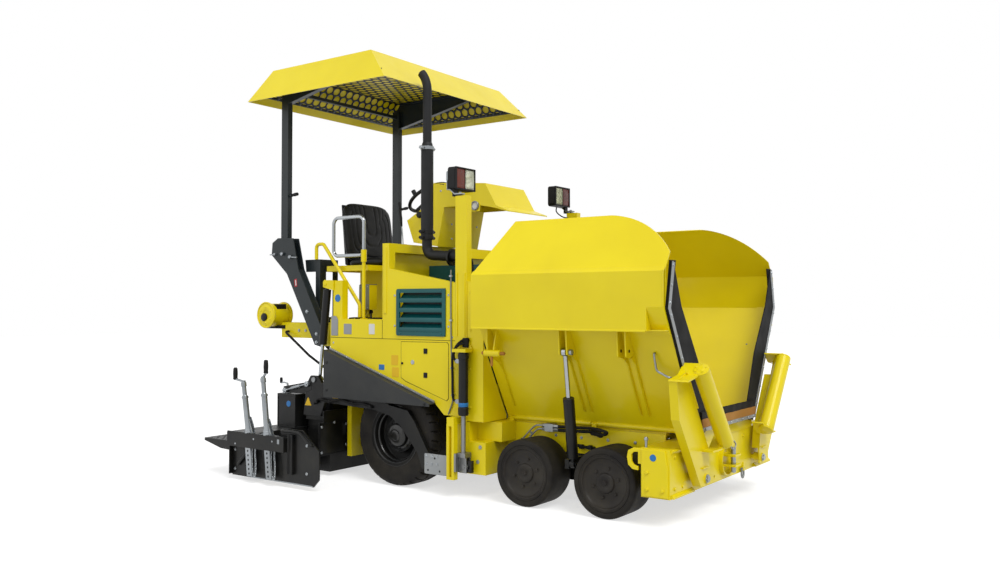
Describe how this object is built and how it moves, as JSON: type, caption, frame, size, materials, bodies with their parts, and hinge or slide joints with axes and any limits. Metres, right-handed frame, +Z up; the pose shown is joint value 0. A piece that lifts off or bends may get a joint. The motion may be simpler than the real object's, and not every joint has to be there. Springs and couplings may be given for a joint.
{
  "type": "asphalt paver",
  "caption": "Compact wheeled asphalt paver with folding hopper wings, push rollers, bogie front wheels, operator roof and an extending screed on tow arms.",
  "frame": {"origin": "centre of the overall box on the ground", "axes": "+X forward to the hopper, +Y to the machine's left, +Z up"},
  "size_m": [3.603, 2.368, 2.92],
  "materials": {
    "lemon_paint": "gloss",
    "dark_paint": "satin",
    "fender_paint": "satin",
    "teal_paint": "gloss",
    "black_paint": "satin",
    "black_plastic": "matte",
    "vinyl": "satin",
    "black_rubber": "matte",
    "tyre_rubber": "matte",
    "cast": "satin",
    "steel": "satin",
    "rod_chrome": "polished"
  },
  "bodies": {
    "chassis": {"apron": "black_rubber", "axles": "black_paint", "console": "lemon_paint", "control_stand": "lemon_paint", "conveyor": "steel", "engine_block": "cast", "exhaust": "black_paint", "fenders": "fender_paint", "grab_loop": "rod_chrome", "headlamps": "black_plastic", "hopper_floor": "lemon_paint", "hose_reel": "lemon_paint", "hoses": "black_rubber", "lamp_posts": "lemon_paint", "level_barrels": "black_paint", "main_frame": "lemon_paint", "platform": "lemon_paint", "roof_arms": "dark_paint", "seat": "vinyl", "side_panels": "lemon_paint", "teal_covers": "teal_paint"},
    "roof": {"roof_shell": "lemon_paint", "roof_liner": "lemon_paint", "roof_posts": "dark_paint"},
    "steering_wheel": {"steering_wheel": "black_plastic"},
    "tow_points": {"tow_points": "steel"},
    "lift_pins": {"lift_pins": "steel"},
    "screed": {"screed": "black_paint"},
    "lift_barrels": {"lift_barrels": "black_paint"},
    "lift_rods": {"lift_rods": "rod_chrome"},
    "wing_right": {"wing_right": "lemon_paint", "flap_right": "black_rubber"},
    "wing_barrel_right": {"wing_barrel_right": "black_paint"},
    "wing_rod_right": {"wing_rod_right": "rod_chrome"},
    "push_arm_right": {"push_arm_right": "lemon_paint"},
    "push_roller_right": {"push_roller_right": "lemon_paint"},
    "rear_wheel_right": {"rear_tyre_right": "tyre_rubber", "rear_rim_right": "black_paint"},
    "knuckle_right_rear": {"knuckle_right_rear": "black_paint"},
    "front_wheel_right_rear": {"front_wheel_right_rear": "tyre_rubber"},
    "knuckle_right_fore": {"knuckle_right_fore": "black_paint"},
    "front_wheel_right_fore": {"front_wheel_right_fore": "tyre_rubber"},
    "extension_right": {"extension_right": "black_paint", "spindles_right": "steel"},
    "auger_right": {"auger_right": "cast"},
    "wing_left": {"wing_left": "lemon_paint", "flap_left": "black_rubber"},
    "wing_barrel_left": {"wing_barrel_left": "black_paint"},
    "wing_rod_left": {"wing_rod_left": "rod_chrome"},
    "push_arm_left": {"push_arm_left": "lemon_paint"},
    "push_roller_left": {"push_roller_left": "lemon_paint"},
    "rear_wheel_left": {"rear_tyre_left": "tyre_rubber", "rear_rim_left": "black_paint"},
    "knuckle_left_rear": {"knuckle_left_rear": "black_paint"},
    "front_wheel_left_rear": {"front_wheel_left_rear": "tyre_rubber"},
    "knuckle_left_fore": {"knuckle_left_fore": "black_paint"},
    "front_wheel_left_fore": {"front_wheel_left_fore": "tyre_rubber"},
    "extension_left": {"extension_left": "black_paint", "spindles_left": "steel"},
    "auger_left": {"auger_left": "cast"}
  },
  "joints": [
    {"name": "roof_fold", "type": "hinge", "parent": "chassis", "child": "roof", "pos_m": [-1.557, 0, 1.575], "axis": [0, -1, 0], "range_deg": [0, 90]},
    {"name": "steering_turn", "type": "hinge", "parent": "chassis", "child": "steering_wheel", "pos_m": [-0.62, -0.07, 1.985], "axis": [-0.55, 0, 0.8352], "range_deg": [-540, 540]},
    {"name": "wing_fold_right", "type": "hinge", "parent": "chassis", "child": "wing_right", "pos_m": [0.98, -0.45, 0.49], "axis": [-1, 0, 0], "range_deg": [0, 28]},
    {"name": "wing_barrel_turn_right", "type": "hinge", "parent": "chassis", "child": "wing_barrel_right", "pos_m": [0.924, -0.62, 0.271], "axis": [-1, 0, 0], "range_deg": [0, 20.27]},
    {"name": "wing_rod_slide_right", "type": "slide", "parent": "wing_barrel_right", "child": "wing_rod_right", "axis": [0.046, -0.2079, 0.9771], "range_m": [0, 0.09122]},
    {"name": "push_arm_fold_right", "type": "hinge", "parent": "chassis", "child": "push_arm_right", "pos_m": [1.66, -0.442, 0.24], "axis": [1, 0, 0], "range_deg": [0, 50]},
    {"name": "push_roller_spin_right", "type": "hinge", "parent": "push_arm_right", "child": "push_roller_right", "pos_m": [1.737, -0.498, 0.6465], "axis": [0, -0.6228, 0.7824], "continuous": true},
    {"name": "rear_wheel_spin_right", "type": "hinge", "parent": "chassis", "child": "rear_wheel_right", "pos_m": [-0.405, -0.575, 0.335], "axis": [0, 1, 0], "continuous": true},
    {"name": "steer_right_rear", "type": "hinge", "parent": "chassis", "child": "knuckle_right_rear", "pos_m": [0.64, -0.55, 0.2], "axis": [0, 0, 1], "range_deg": [-12, 12]},
    {"name": "front_wheel_spin_right_rear", "type": "hinge", "parent": "knuckle_right_rear", "child": "front_wheel_right_rear", "pos_m": [0.64, -0.61, 0.2], "axis": [0, 1, 0], "continuous": true},
    {"name": "steer_right_fore", "type": "hinge", "parent": "chassis", "child": "knuckle_right_fore", "pos_m": [1.18, -0.55, 0.2], "axis": [0, 0, 1], "range_deg": [-12, 12]},
    {"name": "front_wheel_spin_right_fore", "type": "hinge", "parent": "knuckle_right_fore", "child": "front_wheel_right_fore", "pos_m": [1.18, -0.61, 0.2], "axis": [0, 1, 0], "continuous": true},
    {"name": "extension_slide_right", "type": "slide", "parent": "screed", "child": "extension_right", "axis": [0, 1, 0], "range_m": [0, 0.3]},
    {"name": "auger_spin_right", "type": "hinge", "parent": "chassis", "child": "auger_right", "pos_m": [-0.86, -0.32, 0.22], "axis": [0, 1, 0], "continuous": true},
    {"name": "wing_fold_left", "type": "hinge", "parent": "chassis", "child": "wing_left", "pos_m": [0.98, 0.45, 0.49], "axis": [1, 0, 0], "range_deg": [0, 28]},
    {"name": "wing_barrel_turn_left", "type": "hinge", "parent": "chassis", "child": "wing_barrel_left", "pos_m": [0.924, 0.62, 0.271], "axis": [1, 0, 0], "range_deg": [0, 20.27]},
    {"name": "wing_rod_slide_left", "type": "slide", "parent": "wing_barrel_left", "child": "wing_rod_left", "axis": [0.046, 0.2079, 0.9771], "range_m": [0, 0.09122]},
    {"name": "push_arm_fold_left", "type": "hinge", "parent": "chassis", "child": "push_arm_left", "pos_m": [1.66, 0.442, 0.24], "axis": [-1, 0, 0], "range_deg": [0, 50]},
    {"name": "push_roller_spin_left", "type": "hinge", "parent": "push_arm_left", "child": "push_roller_left", "pos_m": [1.737, 0.498, 0.6465], "axis": [0, 0.6228, 0.7824], "continuous": true},
    {"name": "rear_wheel_spin_left", "type": "hinge", "parent": "chassis", "child": "rear_wheel_left", "pos_m": [-0.405, 0.575, 0.335], "axis": [0, 1, 0], "continuous": true},
    {"name": "steer_left_rear", "type": "hinge", "parent": "chassis", "child": "knuckle_left_rear", "pos_m": [0.64, 0.55, 0.2], "axis": [0, 0, 1], "range_deg": [-12, 12]},
    {"name": "front_wheel_spin_left_rear", "type": "hinge", "parent": "knuckle_left_rear", "child": "front_wheel_left_rear", "pos_m": [0.64, 0.61, 0.2], "axis": [0, 1, 0], "continuous": true},
    {"name": "steer_left_fore", "type": "hinge", "parent": "chassis", "child": "knuckle_left_fore", "pos_m": [1.18, 0.55, 0.2], "axis": [0, 0, 1], "range_deg": [-12, 12]},
    {"name": "front_wheel_spin_left_fore", "type": "hinge", "parent": "knuckle_left_fore", "child": "front_wheel_left_fore", "pos_m": [1.18, 0.61, 0.2], "axis": [0, 1, 0], "continuous": true},
    {"name": "extension_slide_left", "type": "slide", "parent": "screed", "child": "extension_left", "axis": [0, -1, 0], "range_m": [0, 0.3]},
    {"name": "auger_spin_left", "type": "hinge", "parent": "chassis", "child": "auger_left", "pos_m": [-0.86, 0.32, 0.22], "axis": [0, 1, 0], "continuous": true},
    {"name": "screed_lift", "type": "hinge", "parent": "chassis", "child": "lift_pins", "pos_m": [0.206, 0, 0.2], "axis": [0, 1, 0], "range_deg": [0, 8]},
    {"name": "screed_level", "type": "hinge", "parent": "lift_pins", "child": "screed", "pos_m": [-1.125, 0, 0.672], "axis": [0, -1, 0], "range_deg": [0, 2]},
    {"name": "tow_point_slide", "type": "slide", "parent": "chassis", "child": "tow_points", "axis": [0, 0, 1], "range_m": [0, 0.0474]},
    {"name": "lift_barrel_turn", "type": "hinge", "parent": "chassis", "child": "lift_barrels", "pos_m": [-1.049, 0, 1.346], "axis": [0, 1, 0], "range_deg": [-6.21, 0]},
    {"name": "lift_rod_slide", "type": "slide", "parent": "lift_barrels", "child": "lift_rods", "axis": [-0.112, 0, -0.9937], "range_m": [-0.18991, 0]}
  ],
  "couplings": [
    {"joint": "wing_barrel_turn_right", "follows": "wing_fold_right", "ratio": 0.70981},
    {"joint": "wing_rod_slide_right", "follows": "wing_fold_right", "m_per_rad": 0.18301},
    {"joint": "steer_right_rear", "follows": "steering_turn", "ratio": 0.022222},
    {"joint": "steer_right_fore", "follows": "steering_turn", "ratio": 0.022222},
    {"joint": "wing_barrel_turn_left", "follows": "wing_fold_left", "ratio": 0.70981},
    {"joint": "wing_rod_slide_left", "follows": "wing_fold_left", "m_per_rad": 0.18301},
    {"joint": "steer_left_rear", "follows": "steering_turn", "ratio": 0.022222},
    {"joint": "steer_left_fore", "follows": "steering_turn", "ratio": 0.022222},
    {"joint": "tow_point_slide", "follows": "screed_level", "m_per_rad": 1.331},
    {"joint": "lift_barrel_turn", "follows": "screed_lift", "ratio": -0.7606},
    {"joint": "lift_rod_slide", "follows": "screed_lift", "m_per_rad": -1.3335}
  ]
}
